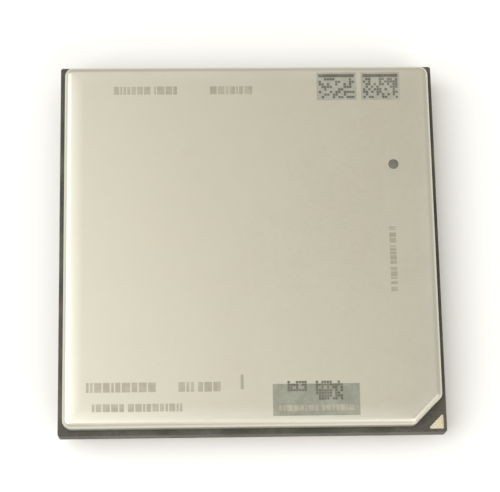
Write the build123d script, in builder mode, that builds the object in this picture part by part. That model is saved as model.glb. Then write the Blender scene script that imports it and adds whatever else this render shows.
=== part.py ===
from build123d import *
import os
from math import sqrt

# A lidded ceramic pin-grid processor package, in millimetres, +Z up.
# It stands on its pins. The origin is the centre of the package in the plane of the pin tips.
# The index corner, where the lid is cut away and pin A1 is left out, is at +X, -Y.

# --- Pin grid ---
pin_rows = 31                 # rows and columns of the square grid
pin_pitch = 1.27
pin_radius = 0.1525
pin_length = 2.03             # ceramic underside to pin tip
pin_tip_chamfer = 0.05
grid_margin = 0.95            # centre line of the outer pins to the package edge
pad_radius = 0.45
pad_thickness = 0.04
braze_radius = 0.41           # foot of the braze mound on its pad
braze_height = 0.26
braze_rim = 0.02              # thickness of the mound's two thin edges
braze_waist = 0.08            # the flank is two cones that meet this far out from the pin
braze_waist_height = 0.10     # and this far below the pad
key_inset = 8                 # rows from the grid's edge to the middle of a group of five empty places
key_shift = 1                 # rows by which the group at the index corner stands further out

# --- Ceramic body ---
bottom_layer_thickness = 0.55
core_layer_thickness = 0.80
top_layer_thickness = 0.55
ceramic_corner_radius = 0.25
plane_thickness = 0.03        # metal planes fired in between the ceramic layers
ground_plane_inset = 0.60
power_plane_inset = 1.10

# --- Index marks: gold triangles on the bare ceramic ---
index_edge_gap = 0.35
index_top_leg = 1.60
index_bottom_leg = 1.10
index_thickness = 0.02

# --- Lid ---
lid_border = 0.55             # bare ceramic left all round
lid_roof_thickness = 1.20
lid_foot_width = 3.00
lid_corner_radius = 0.90
lid_top_edge_radius = 0.70
lid_bottom_edge_radius = 0.15
lid_index_leg = 2.90          # legs of the cut at the index corner
lid_index_round = 0.80        # rounding at each end of that cut
cavity_corner_radius = 2.00

# --- Seal bead between lid foot and ceramic ---
seal_thickness = 0.10
seal_inset = 0.45             # from the lid's outer edge
seal_width = 2.00
vent_gap = 3.00               # the bead is left open here, at the middle of the back side

# --- Die and what holds it ---
die_width = 14.00             # along X
die_depth = 13.70             # along Y
die_thickness = 0.78
bump_height = 0.08
bump_radius = 0.11
bump_pitch = 0.70
bump_edge = 0.55              # die edge to the centre line of the outer bumps
underfill_skirt = 0.60        # reach of the fillet beyond the die's side
underfill_climb = 0.45        # height that the fillet climbs up the die's side
thermal_thickness = 0.10
thermal_inset = 0.15          # from the die's edge

# --- Decoupling capacitors round the die ---
capacitors_per_side = 5
capacitor_length = 2.00       # along the terminals
capacitor_width = 1.25        # across, from terminal to terminal
capacitor_height = 0.50
capacitor_spacing = 0.70      # clear gap between neighbours in a line
capacitor_clearance = 0.90    # underfill to the nearest capacitor body
terminal_thickness = 0.03
terminal_wrap = 0.30          # how far a terminal reaches over the body
land_thickness = 0.03
solder_reach = 0.22           # solder fillet outwards from the terminal
solder_climb = 0.30           # solder fillet up the terminal
solder_rim = 0.02             # thickness of the fillet's thin edges

# --- Worked out from the values above ---
grid_span = (pin_rows - 1) * pin_pitch
package_side = grid_span + 2 * grid_margin
ceramic_bottom = pin_length
core_bottom = ceramic_bottom + bottom_layer_thickness
top_layer_bottom = core_bottom + core_layer_thickness
ceramic_top = top_layer_bottom + top_layer_thickness
pad_bottom = ceramic_bottom - pad_thickness

lid_side = package_side - 2 * lid_border
lid_bottom = ceramic_top + seal_thickness
cavity_side = lid_side - 2 * lid_foot_width
die_bottom = ceramic_top + bump_height
die_top = die_bottom + die_thickness
cavity_ceiling = die_top + thermal_thickness
cavity_depth = cavity_ceiling - lid_bottom
lid_height = cavity_depth + lid_roof_thickness

seal_side = lid_side - 2 * seal_inset
CUT_SHRINK = 2 - sqrt(2)      # an outline moved in by d has its corner cut's legs shortened by this times d
seal_index_leg = lid_index_leg - CUT_SHRINK * seal_inset

index_corner_x = package_side / 2 - index_edge_gap
index_corner_y = -index_corner_x

FLAT_ON_PLANE = (Align.CENTER, Align.CENTER, Align.MIN)
TOWARDS_INDEX = Axis((0, 0, 0), (1, -1, 0))
ROW_LETTERS = "abcdefghjklmnprtuvwy"     # pin-grid rows skip i, o, q, s, x and z

os.makedirs("parts", exist_ok=True)


def write(piece, name):
    """Label a finished piece and write it as its own STEP file."""
    piece.part.label = name
    export_step(piece.part, f"parts/{name}.step")


# --- Shared outlines ---
def indexed_square(side, cut_leg, corner_radius, height):
    """A square sketch at a height, with its index corner cut off and every corner rounded."""
    with BuildSketch(Plane.XY.offset(height)) as outline:
        Rectangle(side, side)
        chamfer(outline.vertices().sort_by(TOWARDS_INDEX)[-1], length=cut_leg)
        corners = outline.vertices().sort_by(TOWARDS_INDEX)
        fillet(corners[:3], radius=corner_radius)
        fillet(outline.vertices().sort_by(TOWARDS_INDEX)[-2:], radius=lid_index_round)
    return outline.sketch


def ceramic_slab(height):
    """The full package outline at a height."""
    with BuildSketch(Plane.XY.offset(height)) as outline:
        RectangleRounded(package_side, package_side, ceramic_corner_radius)
    return outline.sketch


def plane_outline(inset, height):
    """The outline of a buried metal plane, which stops short of the package edge."""
    with BuildSketch(Plane.XY.offset(height)) as outline:
        Rectangle(package_side - 2 * inset, package_side - 2 * inset)
    return outline.sketch


def index_triangle(leg, height):
    """A right-angled triangle with its square corner next to the package's index corner."""
    with BuildSketch(Plane.XY.offset(height)) as outline:
        with BuildLine():
            Polyline(
                (index_corner_x, index_corner_y),
                (index_corner_x, index_corner_y + leg),
                (index_corner_x - leg, index_corner_y),
                close=True,
            )
        make_face()
    return outline.sketch


# --- Ceramic body: three fired layers, with a metal plane let into the top of each lower one ---
with BuildPart() as ceramic_bottom_layer:
    add(ceramic_slab(ceramic_bottom))
    extrude(amount=bottom_layer_thickness)
    add(plane_outline(ground_plane_inset, core_bottom))
    extrude(amount=-plane_thickness, mode=Mode.SUBTRACT)
write(ceramic_bottom_layer, "ceramic_bottom_layer")

with BuildPart() as ground_plane:
    add(plane_outline(ground_plane_inset, core_bottom))
    extrude(amount=-plane_thickness)
write(ground_plane, "ground_plane")

with BuildPart() as ceramic_core_layer:
    add(ceramic_slab(core_bottom))
    extrude(amount=core_layer_thickness)
    add(plane_outline(power_plane_inset, top_layer_bottom))
    extrude(amount=-plane_thickness, mode=Mode.SUBTRACT)
write(ceramic_core_layer, "ceramic_core_layer")

with BuildPart() as power_plane:
    add(plane_outline(power_plane_inset, top_layer_bottom))
    extrude(amount=-plane_thickness)
write(power_plane, "power_plane")

with BuildPart() as ceramic_top_layer:
    add(ceramic_slab(top_layer_bottom))
    extrude(amount=top_layer_thickness)
write(ceramic_top_layer, "ceramic_top_layer")

with BuildPart() as index_triangle_top:
    add(index_triangle(index_top_leg, ceramic_top))
    extrude(amount=index_thickness)
write(index_triangle_top, "index_triangle_top")

with BuildPart() as index_triangle_bottom:
    add(index_triangle(index_bottom_leg, ceramic_bottom))
    extrude(amount=-index_thickness)
write(index_triangle_bottom, "index_triangle_bottom")


# --- Lid: a stamped, plated copper cap whose foot runs all round an open underside ---
with BuildPart() as heat_spreader_lid:
    add(indexed_square(lid_side, lid_index_leg, lid_corner_radius, lid_bottom))
    extrude(amount=lid_height)
    fillet(heat_spreader_lid.edges().group_by(Axis.Z)[-1], radius=lid_top_edge_radius)
    fillet(heat_spreader_lid.edges().group_by(Axis.Z)[0], radius=lid_bottom_edge_radius)
    with BuildSketch(Plane.XY.offset(lid_bottom)):
        RectangleRounded(cavity_side, cavity_side, cavity_corner_radius)
    extrude(amount=cavity_depth, mode=Mode.SUBTRACT)
write(heat_spreader_lid, "heat_spreader_lid")

with BuildPart() as lid_seal:
    with BuildSketch(Plane.XY.offset(ceramic_top)):
        add(indexed_square(seal_side, seal_index_leg, lid_corner_radius, 0))
        RectangleRounded(
            seal_side - 2 * seal_width,
            seal_side - 2 * seal_width,
            cavity_corner_radius,
            mode=Mode.SUBTRACT,
        )
        with Locations((0, seal_side / 2)):
            Rectangle(vent_gap, 3 * seal_width, mode=Mode.SUBTRACT)
    extrude(amount=seal_thickness)
write(lid_seal, "lid_seal")


# --- Die, its solder bumps, the underfill round them and the thermal layer above ---
bump_columns = int((die_width - 2 * bump_edge) / bump_pitch) + 1
bump_lines = int((die_depth - 2 * bump_edge) / bump_pitch) + 1

with BuildPart() as one_bump:
    with BuildSketch(Plane.XY.offset(ceramic_top)):
        Circle(bump_radius)
    extrude(amount=bump_height)

with BuildPart() as solder_bumps:
    with GridLocations(bump_pitch, bump_pitch, bump_columns, bump_lines):
        add(one_bump.part)
write(solder_bumps, "solder_bumps")

with BuildPart() as silicon_die:
    with BuildSketch(Plane.XY.offset(die_bottom)):
        Rectangle(die_width, die_depth)
    extrude(amount=die_thickness)
write(silicon_die, "silicon_die")

with BuildPart() as underfill:
    with BuildSketch(Plane.XY.offset(ceramic_top)):
        RectangleRounded(
            die_width + 2 * underfill_skirt,
            die_depth + 2 * underfill_skirt,
            underfill_skirt,
        )
    with BuildSketch(Plane.XY.offset(die_bottom + underfill_climb)):
        RectangleRounded(
            die_width + underfill_skirt / 5,
            die_depth + underfill_skirt / 5,
            underfill_skirt / 20,
        )
    loft()
    add(silicon_die.part, mode=Mode.SUBTRACT)
    add(solder_bumps.part, mode=Mode.SUBTRACT)
write(underfill, "underfill")

with BuildPart() as thermal_interface:
    with BuildSketch(Plane.XY.offset(die_top)):
        Rectangle(die_width - 2 * thermal_inset, die_depth - 2 * thermal_inset)
    extrude(amount=thermal_thickness)
write(thermal_interface, "thermal_interface")


# --- Capacitors: a line along each side of the die, terminals on their long sides ---
land_depth = terminal_wrap + solder_reach
terminal_side = capacitor_width / 2 + terminal_thickness
body_bottom = land_thickness + terminal_thickness


def capacitor_places():
    """One Location for each capacitor on the ceramic, its terminals towards and away from the die."""
    places = []
    for side, die_size in enumerate((die_depth, die_width, die_depth, die_width)):
        out = die_size / 2 + underfill_skirt + capacitor_clearance + terminal_side
        for number in range(capacitors_per_side):
            step = number - (capacitors_per_side - 1) / 2
            along = step * (capacitor_length + capacitor_spacing)
            turn = Location((0, 0, 0), (0, 0, 90 * side))
            places.append(turn * Location((along, -out, ceramic_top)))
    return places


def write_at_capacitors(master, name):
    """Write one node that holds a copy of the master pieces at every capacitor."""
    with BuildPart() as copies:
        with Locations(*capacitor_places()):
            add(master.part)
    write(copies, name)


with BuildPart() as one_capacitor_body:
    with Locations((0, 0, body_bottom)):
        Box(capacitor_length, capacitor_width, capacitor_height, align=FLAT_ON_PLANE)
write_at_capacitors(one_capacitor_body, "capacitor_bodies")

with BuildPart() as one_terminal_pair:
    terminal_middle = terminal_side - terminal_wrap / 2
    with Locations((0, terminal_middle, land_thickness), (0, -terminal_middle, land_thickness)):
        Box(
            capacitor_length,
            terminal_wrap,
            capacitor_height + 2 * terminal_thickness,
            align=FLAT_ON_PLANE,
        )
    add(one_capacitor_body.part, mode=Mode.SUBTRACT)
write_at_capacitors(one_terminal_pair, "capacitor_terminals")

with BuildPart() as one_land_pair:
    land_middle = terminal_side + solder_reach - land_depth / 2
    with Locations((0, land_middle), (0, -land_middle)):
        Box(capacitor_length, land_depth, land_thickness, align=FLAT_ON_PLANE)
write_at_capacitors(one_land_pair, "capacitor_lands")

with BuildPart() as one_solder_pair:
    with BuildSketch(Plane.YZ):
        with BuildLine():
            Polyline(
                (terminal_side + solder_rim, land_thickness + solder_climb),
                (terminal_side, land_thickness + solder_climb),
                (terminal_side, land_thickness),
                (terminal_side + solder_reach, land_thickness),
                (terminal_side + solder_reach, land_thickness + solder_rim),
            )
            RadiusArc(
                (terminal_side + solder_reach, land_thickness + solder_rim),
                (terminal_side + solder_rim, land_thickness + solder_climb),
                solder_climb,
            )
        make_face()
    extrude(amount=capacitor_length / 2, both=True)
    mirror(about=Plane.XZ)
write_at_capacitors(one_solder_pair, "capacitor_solder")


# --- Pin grid: columns count from the index side, rows are lettered from it ---
last = pin_rows - 1
key_groups = (
    (key_inset, key_inset),
    (key_inset, last - key_inset),
    (last - key_inset, last - key_inset),
    (last - key_inset + key_shift, key_inset - key_shift),
)


def is_empty(column, row):
    """True at the index corner and in the four five-place groups that key the socket."""
    if (column, row) == (last, 0):
        return True
    return any(abs(column - x) + abs(row - y) <= 1 for x, y in key_groups)


def grid_places(columns, rows):
    """Centres of the pins that stand in these columns and rows."""
    return [
        (column * pin_pitch - grid_span / 2, row * pin_pitch - grid_span / 2)
        for row in rows
        for column in columns
        if not is_empty(column, row)
    ]


def row_name(row):
    """The row's letters: a to y, then aa, ab and so on."""
    lap, letter = divmod(row, len(ROW_LETTERS))
    return ROW_LETTERS[lap - 1] + ROW_LETTERS[letter] if lap else ROW_LETTERS[letter]


def write_pins(places, name):
    """Write one line of straight pins, each a solid of its own."""
    with BuildPart() as pins:
        with BuildSketch():
            with Locations(*places):
                Circle(pin_radius)
        extrude(amount=pad_bottom)
        chamfer(pins.edges().group_by(Axis.Z)[0], length=pin_tip_chamfer)
    write(pins, name)


every = range(pin_rows)
inner = range(1, last)

write_pins(grid_places(every, (0,)), f"pins_row_{row_name(0)}")
write_pins(grid_places(every, (last,)), f"pins_row_{row_name(last)}")
write_pins(grid_places((last,), inner), "pins_column_1")
write_pins(grid_places((0,), inner), f"pins_column_{pin_rows}")
for inner_row in inner:
    write_pins(grid_places(inner, (inner_row,)), f"pins_row_{row_name(inner_row)}")

with BuildPart() as one_pad:
    with BuildSketch(Plane.XY.offset(pad_bottom)):
        Circle(pad_radius)
    extrude(amount=pad_thickness)

with BuildPart() as pin_pads:
    with Locations(*grid_places(every, every)):
        add(one_pad.part)
write(pin_pads, "pin_pads")

with BuildPart() as one_braze:
    with BuildSketch(Plane.XZ):
        with BuildLine():
            Polyline(
                (pin_radius, pad_bottom),
                (braze_radius, pad_bottom),
                (braze_radius, pad_bottom - braze_rim),
                (pin_radius + braze_waist, pad_bottom - braze_waist_height),
                (pin_radius + braze_rim, pad_bottom - braze_height),
                (pin_radius, pad_bottom - braze_height),
                close=True,
            )
        make_face()
    revolve(axis=Axis.Z)

with BuildPart() as pin_brazes:
    with Locations(*grid_places(every, every)):
        add(one_braze.part)
write(pin_brazes, "pin_brazes")
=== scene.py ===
"""Looks of a lidded ceramic pin-grid processor package, built round its CAD frame.

Lengths are in metres. The package stands on its pins at z = 0 with its lid up, and its index
corner, where the lid is cut away, is at +X, -Y. Each sub-assembly is a class with its own
sizes, each finish is a frozen dataclass, and every new piece is a surface worked out as arrays.
"""

import logging
import math
from dataclasses import dataclass, field
from enum import Enum
from typing import Iterable, Sequence

import bpy
import numpy as np
from mathutils import Matrix, Vector


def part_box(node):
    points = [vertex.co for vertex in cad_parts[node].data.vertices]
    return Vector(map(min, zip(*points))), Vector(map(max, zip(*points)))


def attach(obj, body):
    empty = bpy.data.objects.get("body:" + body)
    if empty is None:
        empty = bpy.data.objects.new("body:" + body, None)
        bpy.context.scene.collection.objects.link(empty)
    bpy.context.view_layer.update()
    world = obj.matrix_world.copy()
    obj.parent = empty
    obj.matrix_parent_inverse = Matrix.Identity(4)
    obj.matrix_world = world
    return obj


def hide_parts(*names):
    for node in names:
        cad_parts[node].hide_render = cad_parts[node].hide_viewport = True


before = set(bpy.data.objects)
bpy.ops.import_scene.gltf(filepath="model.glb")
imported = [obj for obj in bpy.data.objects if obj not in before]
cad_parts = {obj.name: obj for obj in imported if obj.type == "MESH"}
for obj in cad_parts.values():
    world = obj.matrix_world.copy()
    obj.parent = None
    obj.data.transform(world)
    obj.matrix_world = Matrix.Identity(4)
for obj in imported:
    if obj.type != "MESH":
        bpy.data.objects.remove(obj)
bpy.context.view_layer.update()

LOG = logging.getLogger("package")
MM = 0.001
BODY = "root"
SQRT2 = math.sqrt(2.0)

Triple = tuple[float, float, float]
Socket = bpy.types.NodeSocket


# --- surfaces ---


def placed(name: str, data: bpy.types.ID) -> bpy.types.Object:
    """A new object that holds this data, linked to the scene.

    Args:
        name: the object's name.
        data: its mesh, camera or light.

    Returns:
        The new object, at the origin.
    """
    item = bpy.data.objects.new(name, data)
    bpy.context.scene.collection.objects.link(item)
    return item


@dataclass
class Surface:
    """Vertices and faces of one piece, gathered from as many patches as it needs."""

    points: list[np.ndarray] = field(default_factory=list)
    quads: list[np.ndarray] = field(default_factory=list)
    tris: list[np.ndarray] = field(default_factory=list)
    count: int = 0

    def add(self, points: np.ndarray, quads: np.ndarray, tris: np.ndarray | None = None) -> None:
        """Append a patch.

        Args:
            points: vertices, shape (n, 3).
            quads: four vertex numbers a face, counted within this patch.
            tris: three vertex numbers a face, or None.
        """
        self.points.append(points.reshape(-1, 3))
        self.quads.append(quads.reshape(-1, 4) + self.count)
        if tris is not None:
            self.tris.append(tris.reshape(-1, 3) + self.count)
        self.count += len(self.points[-1])

    def build(self, name: str, smooth: bool = True) -> bpy.types.Object:
        """Make the object.

        Args:
            name: the object's name.
            smooth: shade the faces smooth.

        Returns:
            The new object, at the origin, linked to the scene.
        """
        points = np.concatenate(self.points).astype(np.float32)
        quads = np.concatenate(self.quads) if self.quads else np.zeros((0, 4), int)
        tris = np.concatenate(self.tris) if self.tris else np.zeros((0, 3), int)
        corners = np.concatenate([quads.ravel(), tris.ravel()]).astype(np.int32)
        sizes = np.concatenate([np.full(len(quads), 4), np.full(len(tris), 3)])
        starts = np.concatenate([[0], np.cumsum(sizes)[:-1]]).astype(np.int32)
        mesh = bpy.data.meshes.new(name)
        mesh.vertices.add(len(points))
        mesh.vertices.foreach_set("co", points.ravel())
        mesh.loops.add(len(corners))
        mesh.loops.foreach_set("vertex_index", corners)
        mesh.polygons.add(len(sizes))
        mesh.polygons.foreach_set("loop_start", starts)
        mesh.update(calc_edges=True)
        mesh.validate()
        mesh.polygons.foreach_set("use_smooth", np.full(len(sizes), smooth))
        mesh.update()
        return placed(name, mesh)


def grid_quads(rows: int, columns: int, wrap: bool) -> np.ndarray:
    """Faces of a grid of rows by columns points, its columns closed into a ring if wrap is set.

    Args:
        rows: rows of points.
        columns: points in a row.
        wrap: join the last column to the first.

    Returns:
        Four point numbers a face, shape (n, 4).
    """
    row = np.arange(rows - 1)[:, None]
    column = np.arange(columns if wrap else columns - 1)[None, :]
    after = (column + 1) % columns
    here, above = row * columns, (row + 1) * columns
    return np.stack([here + column, here + after, above + after, above + column], -1).reshape(-1, 4)


def pole_fan(ring_start: int, columns: int, pole: int, outward: bool) -> np.ndarray:
    """Triangles that close a ring of points to one pole point.

    Args:
        ring_start: number of the ring's first point.
        columns: points in the ring.
        pole: the pole point's number.
        outward: face the fan upwards, or downwards if not set.

    Returns:
        Three point numbers a face, shape (n, 3).
    """
    column = np.arange(columns)
    after = (column + 1) % columns
    pair = (column, after) if outward else (after, column)
    return np.stack([ring_start + pair[0], ring_start + pair[1], np.full(columns, pole)], -1)


def closed_rings(rings: np.ndarray, bottom: np.ndarray, top: np.ndarray) -> tuple:
    """Close a stack of rings, ordered from bottom to top and turning left, with a pole at each end.

    Args:
        rings: points, shape (rows, columns, 3).
        bottom: the pole below the first ring.
        top: the pole above the last ring.

    Returns:
        Points, quads and triangles, facing outwards.
    """
    rows, columns, _ = rings.shape
    points = np.concatenate([rings.reshape(-1, 3), bottom[None], top[None]])
    quads = grid_quads(rows, columns, True)
    last = (rows - 1) * columns
    low = pole_fan(0, columns, rows * columns, False)
    high = pole_fan(last, columns, rows * columns + 1, True)
    return points, quads, np.concatenate([low, high])


def lathe_copies(profile: np.ndarray, places: np.ndarray, sides: int) -> tuple:
    """Turn one profile round a vertical axis at each of many places.

    A ring of `sides` points is set at each profile point (radius, height), and the first and
    last rings are closed with a pole on the axis. The profile runs upwards.

    Args:
        profile: (radius, height) pairs, shape (rows, 2).
        places: centres, shape (n, 2).
        sides: points in a ring.

    Returns:
        Points, quads and triangles of all copies.
    """
    angle = np.arange(sides) * (2 * math.pi / sides)
    ring = np.stack([np.cos(angle), np.sin(angle)], -1)
    radius, height = profile[:, 0], profile[:, 1]
    rings = np.concatenate(
        [
            radius[:, None, None] * ring[None],
            np.broadcast_to(height[:, None, None], (len(profile), sides, 1)),
        ],
        -1,
    )
    points, quads, tris = closed_rings(
        rings, np.array([0, 0, height[0]]), np.array([0, 0, height[-1]])
    )
    shift = np.concatenate([places, np.zeros((len(places), 1))], 1)
    all_points = (points[None] + shift[:, None]).reshape(-1, 3)
    step = (np.arange(len(places)) * len(points))[:, None, None]
    return all_points, (quads[None] + step).reshape(-1, 4), (tris[None] + step).reshape(-1, 3)


def boxes(low: np.ndarray, high: np.ndarray) -> tuple:
    """Many closed boxes at once, from their lowest and highest corners.

    Args:
        low: lowest corners, shape (n, 3).
        high: highest corners, shape (n, 3).

    Returns:
        Points and quads of all boxes.
    """
    picks = np.array([[0, 0], [1, 0], [1, 1], [0, 1]])
    both = np.stack([low, high], 1)
    foot = np.stack([both[:, picks[:, 0], 0], both[:, picks[:, 1], 1]], -1)
    floor = np.concatenate([foot, np.broadcast_to(low[:, None, 2:], (len(low), 4, 1))], -1)
    roof = np.concatenate([foot, np.broadcast_to(high[:, None, 2:], (len(low), 4, 1))], -1)
    points = np.concatenate([floor, roof], 1)
    sides = np.array([[0, 1, 5, 4], [1, 2, 6, 5], [2, 3, 7, 6], [3, 0, 4, 7], [3, 2, 1, 0], [4, 5, 6, 7]])
    quads = sides[None] + (np.arange(len(low)) * 8)[:, None, None]
    return points.reshape(-1, 3), quads.reshape(-1, 4)


def slab_rings(low: np.ndarray, high: np.ndarray, spacing: float) -> np.ndarray:
    """Rings over a rectangular slab, from the middle of its underside to the middle of its top.

    The rectangle's outline is divided evenly and drawn in towards its middle in even shares. The
    underside has a height of 0 and the top a height of 1, for the caller to set.

    Args:
        low: lowest x and y.
        high: highest x and y.
        spacing: the longest step along the outline and between rings.

    Returns:
        Points, shape (rows, columns, 3).
    """
    size = high - low
    steps = np.maximum(np.ceil(size / spacing).astype(int), 1)
    along, up = np.linspace(0, 1, steps[0] + 1)[:-1], np.linspace(0, 1, steps[1] + 1)[:-1]
    sides = [
        np.column_stack([along, np.zeros(steps[0])]),
        np.column_stack([np.ones(steps[1]), up]),
        np.column_stack([1 - along, np.ones(steps[0])]),
        np.column_stack([np.zeros(steps[1]), 1 - up]),
    ]
    outline = (np.concatenate(sides) - 0.5) * size
    shares = np.linspace(1, 0.04, max(int(size.min() / 2 / spacing) + 1, 3))
    middle = (low + high) / 2
    flat = outline[None] * shares[:, None, None] + middle
    top = np.concatenate([flat, np.ones((*flat.shape[:2], 1))], -1)
    under = np.concatenate([flat[::-1], np.zeros((*flat.shape[:2], 1))], -1)
    return np.concatenate([under, top])


def arcs(
    centres: np.ndarray, radii: np.ndarray | float, turns_deg: Sequence[tuple[float, float]], steps: int
) -> np.ndarray:
    """Points on circular arcs.

    Args:
        centres: the arcs' centres, shape (n, 2).
        radii: one radius for all, or shape (n, 1, 1).
        turns_deg: the angle at which each arc starts and how far it turns left.
        steps: divisions of each arc.

    Returns:
        Points, shape (n, steps + 1, 2).
    """
    turns = np.radians(turns_deg)
    angle = turns[:, :1] + turns[:, 1:] * np.linspace(0, 1, steps + 1)
    return centres[:, None] + radii * np.stack([np.cos(angle), np.sin(angle)], -1)


def lifted(flat: np.ndarray, height: float) -> np.ndarray:
    """A flat ring of points, shape (n, 2), set at a height."""
    return np.column_stack([flat, np.full(len(flat), height)])


def mesh_points(mesh: bpy.types.Mesh) -> np.ndarray:
    """Read a mesh's vertices.

    Args:
        mesh: the mesh to read.

    Returns:
        Points, shape (n, 3).
    """
    points = np.empty(len(mesh.vertices) * 3, np.float32)
    mesh.vertices.foreach_get("co", points)
    return points.reshape(-1, 3)


def closed_piece(name: str, rings: np.ndarray, bottom: np.ndarray, top: np.ndarray) -> bpy.types.Object:
    """The smooth object of a stack of rings with a pole at each end.

    Args:
        name: the object's name.
        rings: points, shape (rows, columns, 3), from bottom to top.
        bottom: the pole below the first ring.
        top: the pole above the last ring.

    Returns:
        The new object.
    """
    surface = Surface()
    surface.add(*closed_rings(rings, bottom, top))
    return surface.build(name)


def finish_piece(
    piece: bpy.types.Object, finish: "Finish", replaced: Sequence[str] = ()
) -> bpy.types.Object:
    """Dress a new piece, set it riding on the package and say what it stands for.

    Args:
        piece: the new object.
        finish: what it is made of.
        replaced: CAD nodes that it stands for.

    Returns:
        The same piece.
    """
    piece.data.materials.clear()
    piece.data.materials.append(finish.material())
    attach(piece, BODY)
    if replaced:
        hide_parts(*replaced)
    LOG.info("%s: %d faces", piece.name, len(piece.data.polygons))
    return piece


# --- outline with an index cut ---


@dataclass(frozen=True)
class IndexedSquare:
    """A square with rounded corners and one corner cut off at 45 degrees, centred on the origin."""

    side: float
    corner_radius: float
    cut_leg: float
    cut_round: float
    arc_steps: int = 8
    edge_steps: int = 24

    def ring(self, inset: float) -> np.ndarray:
        """Points round the outline, moved in by inset.

        Each corner is an arc whose centre lies one radius in from both lines that meet there, and
        the straight runs between arcs are divided evenly. A ring has the same number of points
        at every inset, so that rings can be joined point to point.

        Args:
            inset: distance inwards from the full outline.

        Returns:
            Points, shape (n, 2), turning left from the index cut.
        """
        half = self.side / 2 - inset
        least = 0.02 * MM
        radius = max(self.corner_radius - inset, least)
        if self.cut_leg > 0:
            cut_radius = max(self.cut_round - inset, least)
            cut = self.side - self.cut_leg - SQRT2 * inset
        else:
            cut_radius = radius
            cut = 2 * (half - radius) + SQRT2 * radius
        reach = half - cut_radius
        drop = reach - cut + SQRT2 * cut_radius
        centres = np.array(
            [
                (reach, drop),
                (half - radius, half - radius),
                (radius - half, half - radius),
                (radius - half, radius - half),
                (-drop, -reach),
            ]
        )
        radii = np.array([cut_radius, radius, radius, radius, cut_radius])[:, None, None]
        turns = ((-45.0, 45.0), (0.0, 90.0), (90.0, 90.0), (180.0, 90.0), (270.0, 45.0))
        corners = arcs(centres, radii, turns, self.arc_steps)
        ends, nexts = corners[:, -1], np.roll(corners[:, 0], -1, axis=0)
        along = np.linspace(0, 1, self.edge_steps + 1)[1:-1]
        runs = ends[:, None] + (nexts - ends)[:, None] * along[None, :, None]
        return np.concatenate([corners, runs], 1).reshape(-1, 2)

    def depths(self, x: np.ndarray, y: np.ndarray) -> np.ndarray:
        """Distances inwards from the nearer X side, the nearer Y side and the index cut.

        Args:
            x: places along X.
            y: places along Y.

        Returns:
            The three distances, stacked in front of the shape of x.
        """
        half = self.side / 2
        cut = (self.side - self.cut_leg - (x - y)) / SQRT2
        return np.stack([half - np.abs(x), half - np.abs(y), cut])


def rings_from_rows(outline: IndexedSquare, rows: Iterable[tuple[float, float]]) -> np.ndarray:
    """Rings of an outline at each (inset, height) row, shape (rows, columns, 3)."""
    return np.stack([lifted(outline.ring(inset), height) for inset, height in rows])


def scaled_rings(ring: np.ndarray, shares: Iterable[float]) -> np.ndarray:
    """Copies of a ring drawn in towards the vertical axis by each share."""
    return np.stack([ring * np.array([share, share, 1.0]) for share in shares])


def quarter_round(inset: float, height: float, radius: float, steps: int, rising: bool) -> list:
    """Rows over a rounded edge: a quarter circle from the side wall at inset to the flat face.

    The wall is at `inset` and the flat face at `height`. Rising rows go from the wall up and
    inwards; the others go from the flat underside at `height` out and up to the wall.

    Args:
        inset: the wall's distance in from the outline.
        height: the flat face's height.
        radius: radius of the rounded edge.
        steps: divisions of the quarter circle.
        rising: go up and inwards, or from the underside out and up if not set.

    Returns:
        (inset, height) rows.
    """
    angle = np.linspace(0, math.pi / 2, steps + 1)
    if rising:
        return list(zip(inset + radius * (1 - np.cos(angle)), height - radius * (1 - np.sin(angle))))
    return list(zip(inset + radius * (1 - np.sin(angle)), height + radius * (1 - np.cos(angle))))


# --- finishes ---


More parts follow.
